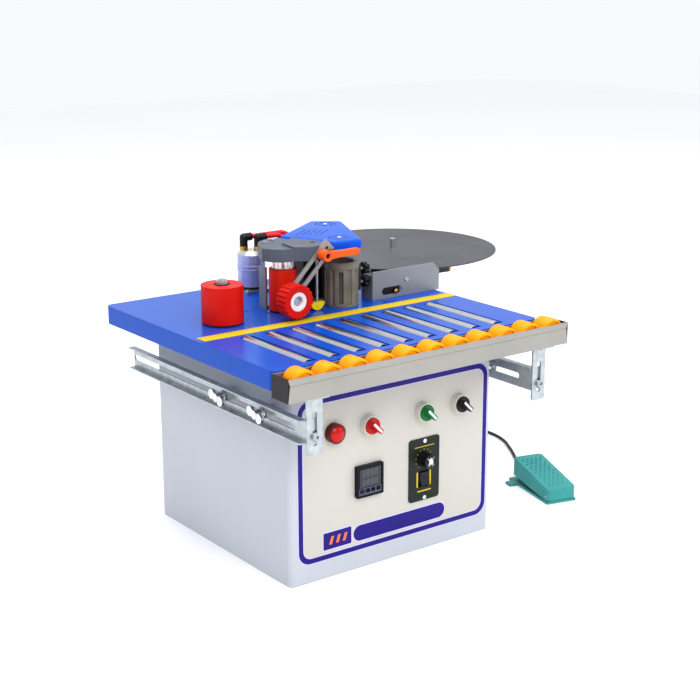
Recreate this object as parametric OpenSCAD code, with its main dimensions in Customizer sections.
// Edge banding machine: cabinet, roller table, gluing head, front wheel rail, tape tray, pedal.
// Millimetres, +Z up, +X right, +Y to the back. Origin: middle of the cabinet's bottom.

/* [Cabinet] */
// Cabinet width over the side walls, mm
cabinet_w = 375; // [330:1:450]
// Cabinet depth over the rear panel, mm
cabinet_d = 366; // [340:1:440]
// Cabinet height up to the flange that carries the table, mm
cabinet_h = 322; // [265:1:390]
// Thickness of the cabinet sheet, mm
sheet_t = 2; // [1.5:0.1:2.5]

/* [Table] */
// Table length, left to right, mm
table_w = 478; // [440:1:580]
// Table depth, front to back, mm
table_d = 472; // [450:1:570]
// Thickness of the table sheet, mm
table_t = 3; // [2.4:0.1:4]
// Depth of the folded skirt under the table sheet, mm
skirt_h = 25; // [20:1:30]

/* [Table rollers] */
// Diameter of a table roller, mm
roller_d = 18; // [15:0.5:21.6]
// Distance from one table roller to the next, mm
roller_pitch = 42.5; // [35:0.5:46]
// Length of a table roller's body, mm
roller_len = 154; // [128:1:160]
// Journal diameter of a table roller, mm
journal_d = 6; // [5:0.5:7]

/* [Front rail] */
// Length of the front rail's channel, mm
rail_len = 499; // [480:1:600]
// Height of the front rail's channel, mm
rail_h = 32.5; // [29:0.5:34]
// Diameter of a rail wheel, mm
wheel_d = 36; // [30:1:43]
// Distance from one rail wheel to the next, mm
wheel_pitch = 45; // [44:0.5:47]
// Diameter of a rail wheel's axle pin, mm
axle_d = 5; // [4:0.5:6]

/* [Side rails] */
// Height of a side rail, mm
side_h = 34; // [28:1:40]
// Width of the slot along a side rail, mm
side_slot_w = 8.5; // [8.4:0.1:10]

/* [Head] */
// Diameter of the rubber feed roller, mm
feed_d = 43.5; // [36:0.5:44]
// Height of the rubber feed roller, mm
feed_h = 66; // [55:1:66]
// Diameter of the pressure roller, mm
press_d = 63; // [52:1:76]
// Height of the pressure roller, mm
press_h = 56.5; // [47:0.5:68]
// Diameter of the small ribbed pressure wheel, mm
small_d = 52; // [43:1:54]
// Outer diameter of the glue pot's drum, mm
drum_d = 54; // [52:1:58]
// Diameter of the glue roller, mm
glue_d = 34; // [28:1:38]
// Height of the slotted arm's wheel axle above the table, mm
small_z = 30; // [28.5:0.5:36]

/* [Tape tray] */
// Diameter of the tape tray, mm
tray_d = 374; // [312:1:448]
// Diameter of the tray's spindle, mm
spindle_d = 10; // [8:0.5:12]

/* [Panel] */
// Diameter of a selector's ring, mm
ring_d = 29; // [26:0.5:34]
// Side of the temperature controller's face, mm
ctrl_w = 48; // [47:0.5:58]
// Diameter of the speed knob, mm
knob_d = 21; // [17:0.5:25]

/* [Pedal] */
// Length of the foot pedal, mm
pedal_len = 117; // [98:1:140]
// Width of the foot pedal, mm
pedal_w = 54; // [45:1:64]
// Diameter of the pedal's lead, mm
cord_d = 5; // [4.5:0.1:5.5]

/* [Hidden] */
$fn = 48;

// Clearances
run_fit = 0.15;      // added to a shaft's diameter for its running bore
gap = 0.3;           // between faces of pieces that move past each other

// Cabinet
cab_x = cabinet_w / 2;
cab_front = -cabinet_d / 2;
cab_back = cabinet_d / 2;
corner_r = 8;
top_flange = 20;
rear_flange = 15;
cut_d = 22.3;

// Table, its surface and its edges
seat_h = 17;
tz = cabinet_h + seat_h + table_t;
table_x = -4.5;
table_y = 3;
t_left = table_x - table_w / 2;
t_right = table_x + table_w / 2;
t_front = table_y - table_d / 2;
t_back = table_y + table_d / 2;
table_r = 12;
seat_w = 3.5;

// Table rollers
roller_rise = 2;
roller_z = tz + roller_rise - roller_d / 2;
slot_front = t_front + 16;
slot_back = slot_front + roller_len + 6;
slot_w = roller_d + 4;
bearer_t = 4;
roller_mid = table_x + 1;
function roller_x(i) = roller_mid + (i - 4) * roller_pitch;

// Front rail
rail_back = t_front - 1.5;
rail_w = 39;
rail_front = rail_back - rail_w;
rail_mid_y = (rail_back + rail_front) / 2;
rail_x = 3.5;
rail_top = tz - 1;
rail_bot = rail_top - rail_h;
rail_wall = 2;
rail_web = 2.5;
cap_t = 3;
wheel_w = 29;
wheel_z = rail_bot + rail_web + 1.5 + wheel_d / 2;
pin_in = 1;
function wheel_x(i) = rail_x + 3.5 + (i - 5) * wheel_pitch;

// Hangers and side rails
boss_len = 16.2;
boss_d = 18;
side_t = 2;
side_z = cabinet_h - 66;
side_in = cab_x + boss_len + gap;
lip = 9;
hang_w = 26;
hang_t = 3;
hang_y = rail_mid_y + 0.5;
hang_bot = rail_bot - 86.5;
tab_front = hang_y + hang_t + gap;
side_back = cab_back + 38;
side_slot_y0 = tab_front + 28;
side_slot_y1 = side_back - 7;
clamp_z = side_z - 7.5;
clamp_d = 6;
hang_slot_z0 = clamp_z - 10;
hang_slot_z1 = clamp_z + 31;
wing_d = 8;
wing_y = [cab_front + 38, cab_front + 139];

// Head
feed_x = -41;
feed_y = 42;
feed_shaft = 12;
pot_x = 55;
pot_y = 22;
pot_bore = 40;
pot_under = 46;
glue_shaft = 10;
press_x = -156;
press_y = 33;
stud_d = 10;
arm_z0 = tz + 82;
arm_z1 = tz + 101.5;
arm_z2 = tz + 104;
lug_z = tz + 91;
arm_front = -4.2;
plate_t = 3;
plate_back = arm_front - gap;
plate_front = plate_back - plate_t;
small_x = -62.6;
small_w = 24;
small_back = plate_front - 0.5;
arm_tilt = 45.2;
arm_half = 11;
arm_len = 107;
bolt_t = 85;
bolt_d = 8;
bolt_x = small_x + bolt_t * cos(arm_tilt);
bolt_z = tz + small_z + bolt_t * sin(arm_tilt);
lever_front = plate_front - 16.5;
star_y = 20;
star_z = [31, 52];
star_stud = 6;
pad_x = 86;
cover_pts = [[73, 5.5], [136.5, 141.5], [104.5, 166], [0, 93.5], [35, 15]];

// Air cylinder and blade
cyl_x = -1;
cyl_y = 192;
cyl_r = 22.5;
piston_d = 40;
rod_d = 12;
bar_z0 = tz - 52;
bar_h = 12;
blade_x = 4;
guide_y = 115;

// Tape tray
disc_x = 359.5;
disc_y = 277;
disc_z = tz + 10;
disc_t = 2;
arm_h = 8;
pad_pos = [345, 110];

// Front panel
sel_z = cabinet_h - 103;
lamp_x = -112;
red_x = -50;
green_x = 51;
black_x = 120.5;
ring_t = 11;
sel_shaft = 8;
ctrl_x = -50;
ctrl_z = cabinet_h - 187;
ctrl_body = ctrl_w - 3.5;
ctrl_t = 7;
plate_x = 55;
speed_z = cabinet_h - 194;
speed_w = 58;
speed_h = 98;
speed_t = 2;
knob_x = 54;
knob_z = speed_z + 16;
knob_shaft = 6;
rock_z = speed_z - 15;
rock_w = 16;
rock_r = 12.4;
rock_y = cab_front + 2;

// Rear panel
inlet_x = -120;
inlet_z = 60;
gland_x = 32.5;
gland_z = 34;
gland_len = 20;

// Pedal
pedal_pos = [385.4, -61];
pedal_turn = -13.8;
pedal_top = 45;
pedal_toe = 25;
pedal_plate = 4;
pedal_wall = 2;
pedal_block = 10;
pedal_pin = 5;
pin_y = -(pedal_len - 7);
pin_z = 12;
cord_z = cord_d / 2;
cord_exit = [pedal_pos[0] - pedal_block * sin(pedal_turn), pedal_pos[1] + pedal_block * cos(pedal_turn)];
coil_pos = [60, cab_back + 79];
coil_r = 27.5;
coil_w = 2.2 * cord_d;
coil_h = 2.4 * cord_d;

// Floor path of the pedal's lead, from the pedal to the coil, and from the coil to the gland
cord_run = [[cord_exit[0], cord_exit[1], 6], [402, -30, 3.6], [420, -5, cord_z], [449, 36, cord_z],
  [474, 77, cord_z], [491, 110, cord_z], [500, 155, cord_z], [494, 205, cord_z],
  [470, 255, cord_z], [430, 295, cord_z], [375, 320, cord_z], [310, 328, cord_z],
  [240, 320, cord_z], [170, 303, cord_z], [110, 292, cord_z],
  [coil_pos[0], coil_pos[1] + coil_r, cord_z]];
cord_up = [[coil_pos[0] - coil_r, coil_pos[1], coil_h - cord_z],
  [coil_pos[0] - coil_r, coil_pos[1] - 14, coil_h - 1],
  [gland_x, cab_back + 50, 18], [gland_x, cab_back + 36, 28], [gland_x, cab_back + gland_len, gland_z]];

// ---------------------------------------------------------------- helpers
module box(x0, x1, y0, y1, z0, z1) {
  translate([x0, y0, z0]) cube([x1 - x0, y1 - y0, z1 - z0]);
}

module rod_x(y, z, x0, x1, d) {
  translate([x0, y, z]) rotate([0, 90, 0]) cylinder(d = d, h = x1 - x0);
}

module rod_y(x, z, y0, y1, d) {
  translate([x, y0, z]) rotate([-90, 0, 0]) cylinder(d = d, h = y1 - y0);
}

module rod_z(x, y, z0, z1, d) {
  translate([x, y, z0]) cylinder(d = d, h = z1 - z0);
}

// Rounded rectangle between two corners
module rrect(x0, x1, y0, y1, r) {
  translate([x0 + r, y0]) square([x1 - x0 - 2 * r, y1 - y0]);
  translate([x0, y0 + r]) square([x1 - x0, y1 - y0 - 2 * r]);
  for (x = [x0 + r, x1 - r]) {
    for (y = [y0 + r, y1 - r]) {
      translate([x, y]) circle(r);
    }
  }
}

module rslab(x0, x1, y0, y1, z0, z1, r) {
  translate([0, 0, z0]) linear_extrude(z1 - z0) rrect(x0, x1, y0, y1, r);
}

// Slab in the XZ plane with rounded corners, from y0 back to y1
module rface(x0, x1, z0, z1, y0, y1, r) {
  translate([0, y1, 0]) rotate([90, 0, 0]) linear_extrude(y1 - y0) rrect(x0, x1, z0, z1, r);
}

// Outline of a convex set of points, listed counter-clockwise, grown by r with round corners
function side_angle(p, q) = atan2(q[1] - p[1], q[0] - p[0]) - 90;
function corner(p, a, b, r) = [for (k = [0:6]) let(t = a + (b - a) * k / 6) p + r * [cos(t), sin(t)]];
function grown(pts, r) = let(n = len(pts)) [for (i = [0:n - 1])
  let(a = side_angle(pts[(i + n - 1) % n], pts[i]), b = side_angle(pts[i], pts[(i + 1) % n]))
  each corner(pts[i], a, b < a ? b + 360 : b, r)];

// Slot with round ends from a to b, cut width w
module slot2d(a, b, w) {
  u = (b - a) / norm(b - a);
  v = [u[1], -u[0]] * w / 2;
  polygon([a - v, b - v, b + v, a + v]);
  translate(a) circle(d = w);
  translate(b) circle(d = w);
}

// Tube along points, smoothed between them
function mix(a, b, c, d, t) = 0.5 * ((2 * b) + (c - a) * t + (2 * a - 5 * b + 4 * c - d) * t * t
  + (3 * b - a - 3 * c + d) * t * t * t);
function clampi(i, n) = max(0, min(n - 1, i));
function smooth(p, steps) = [for (i = [0:len(p) - 2]) for (k = [0:steps - 1])
  mix(p[clampi(i - 1, len(p))], p[i], p[i + 1], p[clampi(i + 2, len(p))], k / steps), p[len(p) - 1]];
function heading(p, i) = let(a = p[clampi(i - 1, len(p))], b = p[clampi(i + 1, len(p))])
  (b - a) / norm(b - a);
function ring(p, h, r, n) = let(s = cross(h, [0, 0, 1]), u = s / norm(s), v = cross(u, h))
  [for (k = [0:n - 1]) p + r * (cos(360 * k / n) * u + sin(360 * k / n) * v)];

module tube(path, r, sides, steps) {
  p = smooth(path, steps);
  m = len(p);
  pts = [for (i = [0:m - 1]) each ring(p[i], heading(p, i), r, sides)];
  walls = [for (i = [0:m - 2]) for (k = [0:sides - 1]) let(n = (k + 1) % sides)
    [i * sides + k, (i + 1) * sides + k, (i + 1) * sides + n, i * sides + n]];
  first = [[for (k = [0:sides - 1]) k]];
  last = [[for (k = [0:sides - 1]) (m - 1) * sides + sides - 1 - k]];
  polyhedron(points = pts, faces = concat(walls, first, last), convexity = 8);
}

// ---------------------------------------------------------------- cabinet
// Way of the blade carriage through the top rear edge of the cabinet
module carriage_way() {
  box(cyl_x - 12, blade_x + 8, cab_back - top_flange - 1, cab_back + 1, bar_z0 - 2, cabinet_h + 1);
}

module cabinet() {
  body_back = cab_back - sheet_t;
  color([0.8, 0.81, 0.82]) difference() {
    union() {
      difference() {
        rslab(-cab_x, cab_x, cab_front, body_back, 0, cabinet_h, corner_r);
        rslab(-cab_x + sheet_t, cab_x - sheet_t, cab_front + sheet_t, body_back - sheet_t, sheet_t,
          cabinet_h - sheet_t, corner_r - sheet_t);
      }
      for (y = wing_y) {
        rod_x(y, side_z, cab_x - sheet_t, cab_x + boss_len, boss_d);
        rod_x(y, side_z, -cab_x - boss_len, -cab_x + sheet_t, boss_d);
      }
    }
    box(-cab_x + top_flange, cab_x - top_flange, cab_front + top_flange, cab_back - top_flange,
      cabinet_h - sheet_t - 1, cabinet_h + 1);
    box(-cab_x + rear_flange + sheet_t, cab_x - rear_flange - sheet_t, body_back - sheet_t - 1,
      body_back + 1, rear_flange, cabinet_h - rear_flange);
    carriage_way();
    for (x = [lamp_x, red_x, green_x, black_x]) {
      rod_y(x, sel_z, cab_front - 1, cab_front + sheet_t + 1, cut_d);
    }
    box(ctrl_x - ctrl_body / 2 - 0.25, ctrl_x + ctrl_body / 2 + 0.25, cab_front - 1,
      cab_front + sheet_t + 1, ctrl_z - ctrl_body / 2 - 0.25, ctrl_z + ctrl_body / 2 + 0.25);
    box(plate_x - 22, plate_x + 22, cab_front - 1, cab_front + sheet_t + 1, speed_z - 40, speed_z + 40);
    for (y = wing_y) {
      rod_x(y, side_z, cab_x - sheet_t - 1, cab_x + boss_len + 1, wing_d + run_fit);
      rod_x(y, side_z, -cab_x - boss_len - 1, -cab_x + sheet_t + 1, wing_d + run_fit);
    }
  }
}

module back_panel() {
  px = cab_x - corner_r - 1;
  color([0.8, 0.81, 0.82]) difference() {
    box(-px, px, cab_back - sheet_t, cab_back, 4, cabinet_h - 4);
    for (x = [-95, 95]) {
      for (k = [0:6]) {
        box(x - 30, x + 30, cab_back - sheet_t - 1, cab_back + 1, cabinet_h - 142 + 13 * k,
          cabinet_h - 137 + 13 * k);
      }
    }
    box(inlet_x - 14, inlet_x + 14, cab_back - sheet_t - 1, cab_back + 1, inlet_z - 12, inlet_z + 12);
    rod_y(gland_x, gland_z, cab_back - sheet_t - 1, cab_back + 1, 16.2);
    carriage_way();
  }
}

// ---------------------------------------------------------------- table
module table_top() {
  under = tz - table_t;
  color([0.1, 0.4, 0.85]) {
    difference() {
      union() {
        rslab(t_left, t_right, t_front, t_back, under, tz, table_r);
        difference() {
          rslab(t_left, t_right, t_front, t_back, under - skirt_h, under, table_r);
          rslab(t_left + table_t, t_right - table_t, t_front + table_t, t_back - table_t,
            under - skirt_h - 1, under, table_r - table_t);
        }
      }
      for (i = [0:8]) {
        box(roller_x(i) - slot_w / 2, roller_x(i) + slot_w / 2, slot_front, slot_back, under - 1, tz + 1);
      }
      rod_z(feed_x, feed_y, under - 1, tz + 1, feed_shaft + 4);
      rod_z(pot_x, pot_y, under - 1, tz + 1, pot_under + 0.6);
      rod_z(cyl_x, cyl_y, under - 1, tz + 1, rod_d + 2);
      box(blade_x - 3, blade_x + 3, 19, 46, under - 1, tz + 1);
    }
    difference() {
      for (y = [slot_front - bearer_t, slot_back]) {
        box(roller_x(0) - 16.5, roller_x(8) + 16.5, y, y + bearer_t, roller_z - 10, under);
      }
      for (i = [0:8]) {
        rod_y(roller_x(i), roller_z, slot_front - bearer_t - 1, slot_back + bearer_t + 1,
          journal_d + 0.1);
      }
    }
    difference() {
      for (s = [-1, 1]) {
        box(s * (cab_x - seat_w / 2) - seat_w / 2, s * (cab_x - seat_w / 2) + seat_w / 2,
          cab_front + 12, cab_back - 12, cabinet_h, under);
      }
      for (i = [0, 8]) {
        box(roller_x(i) - roller_d / 2 - 1, roller_x(i) + roller_d / 2 + 1, slot_front, slot_back,
          roller_z - roller_d / 2 - 1, under + 1);
      }
    }
    rod_z(blade_x, guide_y, bar_z0 - 5, under, 8);
    rod_z(press_x, press_y, tz, tz + 2 + press_h + 8, stud_d);
    rod_z(press_x, press_y, tz, tz + 2 - gap, 20);
    translate([press_x, press_y, tz + 2 + press_h + gap]) cylinder(d = 18.5, h = 6, $fn = 6);
  }
}

module table_roller(i) {
  y0 = slot_front + 3;
  y1 = slot_back - 3;
  x = roller_x(i);
  color([0.75, 0.75, 0.76]) {
    rod_y(x, roller_z, y0, y1, roller_d);
    rod_y(x, roller_z, slot_front + 0.2, slot_back - 0.2, journal_d + 4);
    rod_y(x, roller_z, slot_front - bearer_t - 1.5, slot_back + bearer_t + 1.5, journal_d);
  }
}

// ---------------------------------------------------------------- front rail
module rail_channel() {
  x0 = rail_x - rail_len / 2;
  x1 = rail_x + rail_len / 2;
  inner0 = rail_front + rail_wall;
  inner1 = rail_back - rail_wall;
  color([0.7, 0.7, 0.68]) {
    difference() {
      box(x0, x1, rail_front, rail_back, rail_bot, rail_top);
      box(x0 - 1, x1 + 1, inner0, inner1, rail_bot + rail_web, rail_top + 1);
      box(x0 - 1, x1 + 1, rail_front - 1, rail_front + 0.5, rail_top - 9.5, rail_top - 8.5);
      for (i = [0:10]) {
        rod_y(wheel_x(i), wheel_z, inner0 - pin_in, inner1 + pin_in, axle_d + 0.1);
      }
    }
    box(x0 - cap_t, x0, rail_front, rail_back, rail_bot, rail_top);
    box(x1, x1 + cap_t, rail_front, rail_back, rail_bot, rail_top);
    for (i = [0:10]) {
      rod_y(wheel_x(i), wheel_z, inner0 - pin_in + 0.2, inner1 + pin_in - 0.2, axle_d);
    }
  }
}

module rail_wheel(i) {
  x = wheel_x(i);
  hub = rail_w / 2 - rail_wall - gap;
  color([1, 0.7, 0]) difference() {
    union() {
      rod_y(x, wheel_z, rail_mid_y - wheel_w / 2, rail_mid_y + wheel_w / 2, wheel_d);
      rod_y(x, wheel_z, rail_mid_y - hub, rail_mid_y + hub, axle_d + 7);
    }
    rod_y(x, wheel_z, rail_mid_y - hub - 1, rail_mid_y + hub + 1, axle_d + run_fit);
    for (s = [-1, 1]) {
      difference() {
        rod_y(x, wheel_z, rail_mid_y + s * wheel_w / 2 - 2, rail_mid_y + s * wheel_w / 2 + 2, wheel_d - 8);
        rod_y(x, wheel_z, rail_mid_y - hub - 2, rail_mid_y + hub + 2, axle_d + 9);
      }
    }
  }
}

module hanger(x0) {
  mid = x0 + hang_w / 2;
  difference() {
    union() {
      rface(x0, x0 + hang_w, hang_bot, hang_bot + 24, hang_y, hang_y + hang_t, 5);
      box(x0, x0 + hang_w, hang_y, hang_y + hang_t, hang_bot + 12, rail_bot);
      box(x0, x0 + hang_w, rail_front + 3.5, rail_back - 5.5, rail_bot - hang_t, rail_bot);
    }
    translate([0, hang_y + hang_t + 1, 0]) rotate([90, 0, 0]) linear_extrude(hang_t + 2)
      slot2d([mid, hang_slot_z0], [mid, hang_slot_z1], clamp_d + 1);
  }
}

module rail_hangers() {
  color([0.72, 0.73, 0.72]) {
    hanger(-side_in - side_t);
    hanger(side_in + side_t);
  }
}

module side_web() {
  z0 = side_z - 17;
  z1 = z0 + side_h;
  difference() {
    union() {
      box(side_in, side_in + side_t, tab_front, side_back, z0, z1);
      box(side_in, side_in + side_t + lip, tab_front + side_t, side_back, z0, z0 + side_t);
      box(side_in, side_in + side_t + lip, tab_front + side_t, side_back, z1 - side_t, z1);
    }
    translate([side_in - 1, 0, 0]) rotate([90, 0, 90]) linear_extrude(side_t + 2)
      slot2d([side_slot_y0, side_z], [side_slot_y1, side_z], side_slot_w);
  }
}

module clamp_bolt(x) {
  rod_y(x, clamp_z, hang_y - gap - 1, tab_front + 0.5, clamp_d);
  rod_y(x, clamp_z, hang_y - gap - 4, hang_y - gap, 12);
}

module side_rails() {
  z0 = side_z - 17;
  color([0.7, 0.72, 0.74]) {
    side_web();
    mirror([1, 0, 0]) side_web();
    box(-side_in - side_t, -side_in - side_t + hang_w, tab_front, tab_front + side_t, z0, z0 + side_h);
    box(side_in, side_in + side_t + hang_w, tab_front, tab_front + side_t, z0, z0 + side_h);
    clamp_bolt(-side_in - side_t + hang_w / 2);
    clamp_bolt(side_in + side_t + hang_w / 2);
  }
}

module wing_bolt(y) {
  out = side_in + side_t + gap;
  rod_x(y, side_z, cab_x - 12, out, wing_d);
  rod_x(y, side_z, out, out + 1.6, 16);
  rod_x(y, side_z, out, out + 14, 13);
  for (s = [-1, 1]) {
    translate([out + lip + 0.6, y + s * 11, side_z + s * 3]) rotate([0, 90, 0]) cylinder(d = 15, h = 4);
  }
  rod_x(y, side_z, out + lip + 0.6, out + lip + 4.6, 13);
}

module wing_bolts() {
  color([0.78, 0.78, 0.76]) {
    for (y = wing_y) {
      wing_bolt(y);
      mirror([1, 0, 0]) wing_bolt(y);
    }
  }
}

// ---------------------------------------------------------------- front panel
module bezel(x) {
  rod_y(x, sel_z, cab_front, cab_front + 34, 22);
  rod_y(x, sel_z, cab_front + sheet_t, cab_front + sheet_t + 4, 28);
  box(x - 15, x + 15, cab_front + 34, cab_front + 56, sel_z - 15, sel_z + 15);
}

module panel_bezels() {
  color([0.75, 0.76, 0.78]) {
    difference() {
      for (x = [red_x, green_x, black_x]) {
        bezel(x);
        rod_y(x, sel_z, cab_front - ring_t, cab_front, ring_d);
      }
      for (x = [red_x, green_x, black_x]) {
        rod_y(x, sel_z, cab_front - ring_t - 1, cab_front - 2, 24.5);
        rod_y(x, sel_z, cab_front - ring_t, cab_front + 20, sel_shaft + run_fit);
      }
    }
    bezel(lamp_x);
    rod_y(lamp_x, sel_z, cab_front - ring_t, cab_front, ring_d);
    translate([lamp_x, cab_front - ring_t, sel_z]) rotate([90, 0, 0]) rotate_extrude()
      intersection() {
        translate([0, -12]) circle(17.5);
        square([12, 10]);
      }
  }
}

module selector(x) {
  face = cab_front - 2 - gap;
  rod_y(x, sel_z, cab_front - ring_t - 3, face, 24);
  rod_y(x, sel_z, face - 1, cab_front + 19, sel_shaft);
  translate([x, cab_front - ring_t - 3, sel_z]) rotate([0, 45, 0]) rface(-11.8, 11.8, -3.6, 3.6, -11, 0, 3);
}

module selector_red() {
  color([0.8, 0.05, 0.05]) selector(red_x);
}

module selector_green() {
  color([0.05, 0.5, 0.2]) selector(green_x);
}

module selector_black() {
  color([0.06, 0.06, 0.06]) selector(black_x);
}

module temp_controller() {
  h = ctrl_w / 2;
  b = ctrl_body / 2;
  color([0.08, 0.09, 0.13]) {
    difference() {
      rface(ctrl_x - h, ctrl_x + h, ctrl_z - h, ctrl_z + h, cab_front - ctrl_t, cab_front, 2);
      rface(ctrl_x - h + 3, ctrl_x + h - 3, ctrl_z - h + 3, ctrl_z + h - 3, cab_front - ctrl_t - 1,
        cab_front - ctrl_t + 0.6, 1.5);
    }
    for (k = [-1.5:1:1.5]) {
      rface(ctrl_x + 10 * k - 4, ctrl_x + 10 * k + 4, ctrl_z - 17.5, ctrl_z - 11.5,
        cab_front - ctrl_t + 0.2, cab_front - ctrl_t + 1, 1.5);
    }
    box(ctrl_x - b, ctrl_x + b, cab_front, cab_front + 80, ctrl_z - b, ctrl_z + b);
  }
}

module speed_plate() {
  face = cab_front - speed_t;
  color([0.18, 0.22, 0.21]) difference() {
    union() {
      rface(plate_x - speed_w / 2, plate_x + speed_w / 2, speed_z - speed_h / 2, speed_z + speed_h / 2,
        face, cab_front, 5);
      rod_y(knob_x, knob_z, cab_front, cab_front + 20, 22);
      box(knob_x - 11, knob_x + 11, cab_front, cab_front + 22, rock_z - 15.5, rock_z + 15.5);
      for (s = [-1, 1]) {
        rod_y(plate_x, speed_z + s * 44.7, face - 1.2, cab_front, 6.5);
      }
    }
    rod_y(knob_x, knob_z, face - 1, cab_front + 15, knob_shaft + run_fit);
    box(knob_x - rock_w / 2 - gap, knob_x + rock_w / 2 + gap, face - 1, cab_front + 17,
      rock_z - rock_r - 0.4, rock_z + rock_r + 0.4);
    rod_x(rock_y, rock_z, knob_x - 11.5, knob_x + 11.5, 3.1);
  }
}

module speed_knob() {
  face = cab_front - speed_t - gap;
  color([0.07, 0.07, 0.08]) {
    rod_y(knob_x, knob_z, face - 3, face, knob_d + 3);
    rod_y(knob_x, knob_z, face - 16, face - 3, knob_d);
    rod_y(knob_x, knob_z, face - 17, face - 16, 8);
    rod_y(knob_x, knob_z, face - 1, cab_front + 14.5, knob_shaft);
    box(knob_x - 0.7, knob_x + 0.7, face - 16.4, face - 3, knob_z + 6, knob_z + knob_d / 2 + 0.3);
  }
}

module rocker() {
  color([0.09, 0.09, 0.1]) translate([knob_x, rock_y, rock_z]) rotate([-10, 0, 0]) {
    intersection() {
      rotate([0, 90, 0]) cylinder(r = rock_r, h = rock_w, center = true);
      translate([-rock_w / 2, 0, 0]) rotate([90, 0, 90]) linear_extrude(rock_w)
        polygon([[-8.9, -13], [6, -13], [6, 13], [-8.9, 13], [-5, 0]]);
    }
    rotate([0, 90, 0]) cylinder(d = 3, h = 22, center = true);
  }
}

// ---------------------------------------------------------------- tape tray and guide
module tray_arm() {
  foot_x = t_right - 44;
  color([0.08, 0.08, 0.08]) {
    difference() {
      union() {
        translate([0, 0, tz]) linear_extrude(arm_h) {
          slot2d([foot_x, 109], [pad_pos[0], pad_pos[1]], 18);
          slot2d([foot_x, 109], [disc_x, disc_y], 34);
          translate([disc_x, disc_y]) circle(r = 34);
        }
        rod_z(disc_x, disc_y, tz - 14, tz + arm_h, 56);
      }
      rod_z(disc_x, disc_y, tz + 4 - gap, tz + arm_h + 1, 66);
    }
    rod_z(disc_x, disc_y, tz - 10, tz + 29, spindle_d);
    rod_z(pad_pos[0], pad_pos[1], tz - 1, disc_z - gap, 15);
  }
}

module tape_tray() {
  color([0.45, 0.46, 0.47]) difference() {
    union() {
      rod_z(disc_x, disc_y, disc_z, disc_z + disc_t, tray_d);
      rod_z(disc_x, disc_y, tz + 4, disc_z, 60);
    }
    rod_z(disc_x, disc_y, tz + 3, disc_z + disc_t + 1, spindle_d + run_fit);
  }
}

module tape_guide() {
  x0 = 106;
  x1 = 242.5;
  color([0.52, 0.54, 0.56]) {
    difference() {
      translate([0, 10.5, tz]) rotate([90, 0, 0]) linear_extrude(2.5)
        polygon([[x0, 0], [x1, 0], [x1, 33.6], [x1 - 12.5, 45.5], [x0, 45.5]]);
      translate([0, 11.5, tz]) rotate([90, 0, 0]) linear_extrude(4.5)
        slot2d([131, 11.6], [159, 11.6], 12);
    }
    box(x0, x0 + 2.5, 8, 37, tz, tz + 40);
    box(x0, x0 + 34, 8, 37, tz, tz + 2.5);
  }
}

module star_knob(z) {
  hub_x = pad_x + 8;
  color([0.06, 0.06, 0.06]) {
    rod_x(star_y, z, 78.5, hub_x + 1, star_stud);
    rod_x(star_y, z, hub_x, hub_x + 10, 13);
    for (a = [0:72:359]) {
      rod_x(star_y + 6 * cos(a), z + 6 * sin(a), hub_x + 1, hub_x + 9, 7.5);
    }
  }
}

module star_knob_upper() {
  star_knob(tz + star_z[1]);
}

module star_knob_lower() {
  star_knob(tz + star_z[0]);
}

// ---------------------------------------------------------------- head
module glue_pot() {
  color([0.47, 0.46, 0.42]) difference() {
    union() {
      rod_z(pot_x, pot_y, tz, tz + 60, drum_d);
      rod_z(pot_x, pot_y, tz + 60, tz + 69, drum_d + 3);
      rod_z(pot_x, pot_y, tz - 67, tz, pot_under);
      box(pot_x - 35, pot_x + 30, pot_y + 6, 112, tz, tz + 8);
      box(pot_x - 10, pot_x + 10, pot_y + 22, 62, tz, tz + 58);
      box(10, 70, 60, 110, tz, arm_z0);
      box(pot_x + 18, pad_x, star_y - 8, star_y + 8, tz + 20, tz + 62);
    }
    rod_z(pot_x, pot_y, tz + 3, tz + 70, pot_bore);
    rod_z(pot_x, pot_y, tz - 68, tz + 4, glue_shaft + run_fit);
    translate([pot_x, pot_y, tz + 6]) rotate([0, 0, 233]) translate([15, -3.5, 0])
      cube([16, 7, 50]);
    for (k = [1, 2, 3, 5, 9, 10, 11]) {
      rotate_about(pot_x, pot_y, 233 + 30 * k) translate([drum_d / 2 + 1.2, 0, tz + 3])
        cylinder(r = 4, h = 55);
    }
    for (z = star_z) {
      rod_x(star_y, tz + z, 78, pad_x + 1, star_stud + run_fit);
    }
  }
}

module rotate_about(x, y, a) {
  translate([x, y, 0]) rotate([0, 0, a]) children();
}

module glue_roller() {
  color([0.5, 0.47, 0.4]) {
    rod_z(pot_x, pot_y, tz + 4, tz + 58, glue_d);
    rod_z(pot_x, pot_y, tz - 100, tz + 5, glue_shaft);
  }
}

module feed_roller() {
  color([0.85, 0.15, 0.03]) {
    rod_z(feed_x, feed_y, tz + 1, tz + 1 + feed_h, feed_d);
    rod_z(feed_x, feed_y, tz + 1 + feed_h, arm_z0 - 1, feed_d - 9.5);
    rod_z(feed_x, feed_y, tz - 41, arm_z0 + 15.5, feed_shaft);
  }
}

module press_roller() {
  color([0.82, 0.08, 0]) difference() {
    rod_z(press_x, press_y, tz + 2, tz + 2 + press_h, press_d);
    rod_z(press_x, press_y, tz + 1, tz + 3 + press_h, stud_d + run_fit);
    difference() {
      rod_z(press_x, press_y, tz + 1 + press_h, tz + 3 + press_h, 25);
      rod_z(press_x, press_y, tz, tz + 4 + press_h, 20);
    }
  }
}

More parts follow.
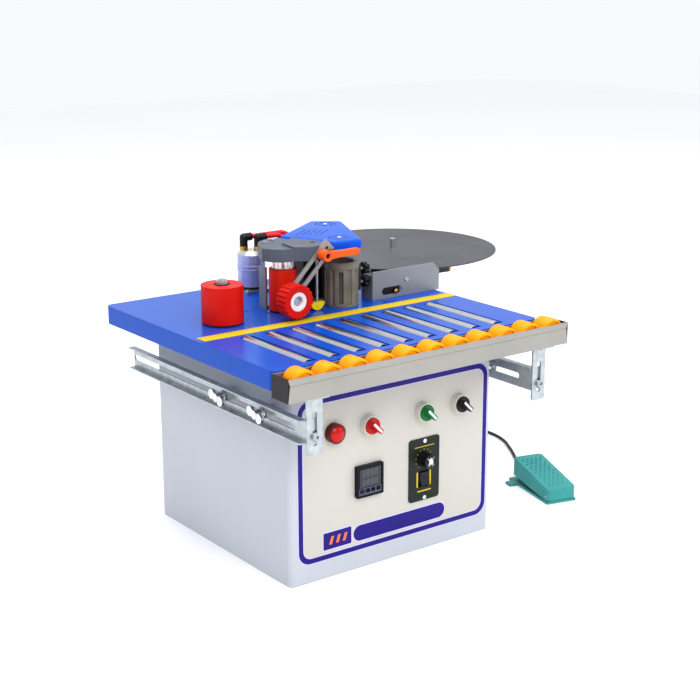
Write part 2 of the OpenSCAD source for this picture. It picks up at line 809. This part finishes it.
module head_arm() {
  color([0.52, 0.55, 0.59]) difference() {
    union() {
      translate([0, 0, arm_z0]) linear_extrude(arm_z1 - arm_z0) {
        polygon([[-79, 41], [-74, 27], [-62, 14], [-43, 9], [-24, arm_front], [12, arm_front],
          [24.5, 7.4], [-13, 95], [-36, 98], [-52, 90], [-64, 76]]);
      }
      translate([0, 0, arm_z0]) linear_extrude(arm_z2 - arm_z0)
        polygon([[-43, 9], [-24, arm_front], [12, arm_front], [24.5, 7.4], [-3, 73], [-39, 47]]);
      translate([0, 0, arm_z0]) linear_extrude(lug_z - arm_z0)
        polygon([[24.5, 7.4], [34, 56], [70, 58], [70, 110], [10, 110], [-13, 95]]);
    }
    rod_z(feed_x, feed_y, arm_z0 - 1, arm_z0 + 16, feed_shaft + run_fit);
    rod_y(bolt_x, bolt_z, arm_front - 1, 16, bolt_d + run_fit);
    rod_z(2, 24, arm_z2 - 3, arm_z2 + 1, 9);
  }
}

module blade_cover() {
  color([0.2, 0.45, 0.9]) difference() {
    translate([0, 0, lug_z]) linear_extrude(arm_z2 - lug_z) polygon(grown(cover_pts, 8));
    translate([0, 0, lug_z - 1]) linear_extrude(arm_z2 - lug_z - 1) polygon(grown(cover_pts, 5));
    for (k = [0:4]) {
      translate([14 + 9 * k, 86 - 4 * k, arm_z2 - 3]) rotate([0, 0, 36]) translate([0, -1, 0])
        cube([46 - 2 * k, 2, 4]);
    }
  }
}

module wheel_arm() {
  color([0.7, 0.71, 0.72]) {
    translate([small_x, plate_back, tz + small_z]) rotate([90, 0, 0]) rotate([0, 0, arm_tilt])
      linear_extrude(plate_t) difference() {
        union() {
          translate([0, -arm_half]) square([arm_len, 2 * arm_half]);
          circle(arm_half);
        }
        slot2d([24, 0], [bolt_t + 0.4, 0], bolt_d + 2 * gap);
        translate([98, 0]) circle(d = 5.5);
      }
    rod_y(small_x, tz + small_z, small_back - 14.3, plate_back, 8);
    rod_y(small_x, tz + small_z, small_back - 17.3, small_back - 14.3, 12);
    rod_y(small_x, tz + small_z, small_back + 0.2, plate_front, 12);
  }
}

module press_wheel() {
  x = small_x;
  z = tz + small_z;
  y0 = small_back - small_w;
  color([0.85, 0.1, 0.03]) difference() {
    rod_y(x, z, y0, small_back, small_d);
    rod_y(x, z, y0 - 1, small_back + 1, 8 + run_fit);
    rod_y(x, z, y0 - 1, small_back - 14, 15);
    for (a = [0:20:359]) {
      translate([x, y0 - 1, z]) rotate([0, a, 0]) translate([small_d / 2 - 2, 0, -1.5])
        cube([4, small_w + 2, 3]);
    }
  }
}

module clamp_lever() {
  color([0.92, 0.4, 0.1]) {
    rod_y(bolt_x, bolt_z, plate_front - gap, 12, bolt_d);
    difference() {
      union() {
        rod_y(bolt_x, bolt_z, lever_front, plate_front - gap, 17);
        translate([bolt_x, lever_front + 10, bolt_z]) rotate([90, 0, 0]) linear_extrude(9)
          polygon([[0, -6], [30, -4.2], [58, -3.6], [61, -2], [61, 4], [58, 5.4], [30, 5], [0, 6]]);
      }
      translate([bolt_x, lever_front + 4, bolt_z]) rotate([90, 0, 0]) cylinder(d = 9, h = 5, $fn = 6);
    }
  }
}

module tape_plate() {
  color([0.6, 0.62, 0.66]) {
    box(-57, -54, 66, 85, tz, tz + 65);
    box(-54, -40, 68, 85, tz, tz + 3);
  }
}

module tape_stop() {
  color([0.9, 0.8, 0.05]) {
    intersection() {
      rod_y(0, tz + 13, 8, 18, 25);
      box(-13, 13, 7, 19, tz, tz + 13);
    }
    rod_z(2, 13, tz + 8, arm_z0, 4);
  }
}

module air_cylinder() {
  color([0.55, 0.58, 0.75]) difference() {
    union() {
      rslab(cyl_x - 29, cyl_x + 29, cyl_y - 29, cyl_y + 29, tz, tz + 4, 4);
      rod_z(cyl_x, cyl_y, tz + 3, tz + 8, 40);
      rod_z(cyl_x, cyl_y, tz + 8, tz + 60, 2 * cyl_r);
      translate([cyl_x, cyl_y, tz + 60]) cylinder(r1 = cyl_r, r2 = cyl_r - 6, h = 6);
      for (z = [34, 40]) {
        rod_z(cyl_x, cyl_y, tz + z, tz + z + 2.5, 2 * cyl_r + 1.4);
      }
    }
    rod_z(cyl_x, cyl_y, tz + 9, tz + 56, piston_d + 0.1);
    rod_z(cyl_x, cyl_y, tz - 1, tz + 10, rod_d + 0.1);
  }
}

// An elbow on the cylinder's cap with its hose: along +X, then down through a quarter bend
module air_line(x, y, x_end) {
  zt = tz + 86;
  bend = 26;
  rod_z(x, y, tz + 66, tz + 72, 14);
  rod_z(x, y, tz + 72, zt, 13);
  translate([x, y, zt]) sphere(d = 13);
  rod_x(y, zt, x, x + 14, 13);
  rod_x(y, zt, x + 14, x_end, 8);
  translate([x_end, y, zt - bend]) rotate([90, 0, 0]) rotate_extrude(angle = 90)
    translate([bend, 0]) circle(d = 8);
  rod_z(x_end + bend, y, tz, zt - bend, 8);
  rod_z(x_end + bend, y, tz, tz + 4, 15);
}

module air_lines() {
  color([0.8, 0.1, 0.1]) {
    air_line(cyl_x - 9, cyl_y + 7.5, 60);
    air_line(cyl_x + 9, cyl_y - 7.5, 40);
  }
}

module blade_carriage() {
  color([0.6, 0.61, 0.63]) {
    rod_z(cyl_x, cyl_y, bar_z0, tz + 12, rod_d);
    rod_z(cyl_x, cyl_y, tz + 11, tz + 19, piston_d);
    rod_z(cyl_x, cyl_y, bar_z0, bar_z0 + bar_h, 20);
    difference() {
      box(blade_x - 6, blade_x + 6, 30, cyl_y, bar_z0, bar_z0 + bar_h);
      rod_z(blade_x, guide_y, bar_z0 - 1, bar_z0 + bar_h + 1, 8.1);
    }
    box(blade_x - 1, blade_x + 1, 22, 43, bar_z0 + 6, tz - 6);
  }
}

module drive_motors() {
  color([0.3, 0.3, 0.32]) {
    difference() {
      union() {
        rod_z(feed_x, feed_y, tz - table_t - 42, tz - table_t, 60);
        rod_z(feed_x, feed_y, tz - 102, tz - table_t - 41, 52);
      }
      rod_z(feed_x, feed_y, tz - 42, tz, feed_shaft + run_fit);
    }
    difference() {
      union() {
        rod_z(pot_x, pot_y, tz - 107, tz - 67, 60);
        rod_z(pot_x, pot_y, tz - 157, tz - 106, 52);
      }
      rod_z(pot_x, pot_y, tz - 101, tz - 66, glue_shaft + run_fit);
    }
  }
}

module rear_fittings() {
  color([0.1, 0.1, 0.1]) {
    difference() {
      union() {
        rface(inlet_x - 25, inlet_x + 25, inlet_z - 15, inlet_z + 15, cab_back, cab_back + 3, 3);
        box(inlet_x - 13.5, inlet_x + 13.5, cab_back - 24, cab_back + 1, inlet_z - 11.5, inlet_z + 11.5);
      }
      box(inlet_x - 12, inlet_x + 12, cab_back - 16, cab_back + 4, inlet_z - 8, inlet_z + 8);
    }
    for (x = [-7, 0, 7]) {
      box(inlet_x + x - 1, inlet_x + x + 1, cab_back - 17, cab_back - 2, inlet_z - 2, inlet_z + 2);
    }
    rod_y(gland_x, gland_z, cab_back - 12, cab_back + gland_len, 16);
    rod_y(gland_x, gland_z, cab_back, cab_back + 8, 22);
    rod_y(gland_x, gland_z, cab_back - sheet_t - 5, cab_back - sheet_t, 22);
  }
}

// ---------------------------------------------------------------- pedal and its lead
module on_floor() {
  translate([pedal_pos[0], pedal_pos[1], 0]) rotate([0, 0, pedal_turn]) children();
}

module pedal_base() {
  hw = pedal_w / 2;
  ear = hw - pedal_wall - 1;
  color([0.25, 0.45, 0.45]) on_floor() {
    box(-hw, hw, -pedal_len, pedal_block, 0, pedal_plate);
    box(-hw - 15, hw + 15, -20, -4, 0, pedal_plate);
    box(-9, 9, 1, pedal_block, 0, 12);
    box(-12, 12, -60, -30, pedal_plate, 20);
    for (s = [-1, 1]) {
      box(s * (ear - 2) - 2, s * (ear - 2) + 2, pin_y - 4, pin_y + 5, pedal_plate, pin_z + 5);
    }
    rod_x(pin_y, pin_z, -hw, hw, pedal_pin);
  }
}

module pedal_tread() {
  hw = pedal_w / 2;
  t = pedal_wall;
  low = pedal_plate + 0.8;
  color([0.33, 0.65, 0.64]) on_floor() difference() {
    translate([-hw, 0, 0]) rotate([90, 0, 90]) linear_extrude(2 * hw)
      polygon([[0, 15], [0, pedal_top - 1.5], [-1.5, pedal_top], [-10, pedal_top],
        [-pedal_len + 1, pedal_toe], [-pedal_len, pedal_toe - 1], [-pedal_len, low],
        [-pedal_len + 12, low]]);
    translate([-hw + t, 0, 0]) rotate([90, 0, 90]) linear_extrude(2 * (hw - t))
      polygon([[-t, 0], [-t, pedal_top - t], [-10, pedal_top - t], [-pedal_len + t, pedal_toe - t],
        [-pedal_len + t, 0]]);
    rod_x(pin_y, pin_z, -hw - 1, hw + 1, pedal_pin + run_fit);
  }
}

module pedal_cord() {
  color([0.05, 0.05, 0.05]) {
    tube(cord_run, cord_d / 2, 10, 4);
    tube(cord_up, cord_d / 2, 10, 3);
  }
}

module cord_coil() {
  color([0.05, 0.05, 0.05]) translate([coil_pos[0], coil_pos[1], 0]) rotate_extrude()
    rrect(coil_r - coil_w / 2, coil_r + coil_w / 2, 0, coil_h, cord_d / 2 - 0.1);
}

cabinet();
back_panel();
table_top();
panel_bezels();
temp_controller();
speed_plate();
wing_bolts();
tray_arm();
tape_guide();
glue_pot();
blade_cover();
head_arm();
tape_plate();
tape_stop();
air_cylinder();
air_lines();
drive_motors();
rear_fittings();
table_roller(0);  // table_roller_1
table_roller(1);  // table_roller_2
table_roller(2);  // table_roller_3
table_roller(3);  // table_roller_4
table_roller(4);  // table_roller_5
table_roller(5);  // table_roller_6
table_roller(6);  // table_roller_7
table_roller(7);  // table_roller_8
table_roller(8);  // table_roller_9
rail_wheel(0);  // rail_wheel_1
rail_wheel(1);  // rail_wheel_2
rail_wheel(2);  // rail_wheel_3
rail_wheel(3);  // rail_wheel_4
rail_wheel(4);  // rail_wheel_5
rail_wheel(5);  // rail_wheel_6
rail_wheel(6);  // rail_wheel_7
rail_wheel(7);  // rail_wheel_8
rail_wheel(8);  // rail_wheel_9
rail_wheel(9);  // rail_wheel_10
rail_wheel(10);  // rail_wheel_11
rail_channel();
rail_hangers();
side_rails();
selector_red();
selector_green();
selector_black();
speed_knob();
rocker();
tape_tray();
star_knob_upper();
star_knob_lower();
feed_roller();
glue_roller();
press_roller();
wheel_arm();
press_wheel();
clamp_lever();
blade_carriage();
pedal_base();
pedal_tread();
pedal_cord();
cord_coil();
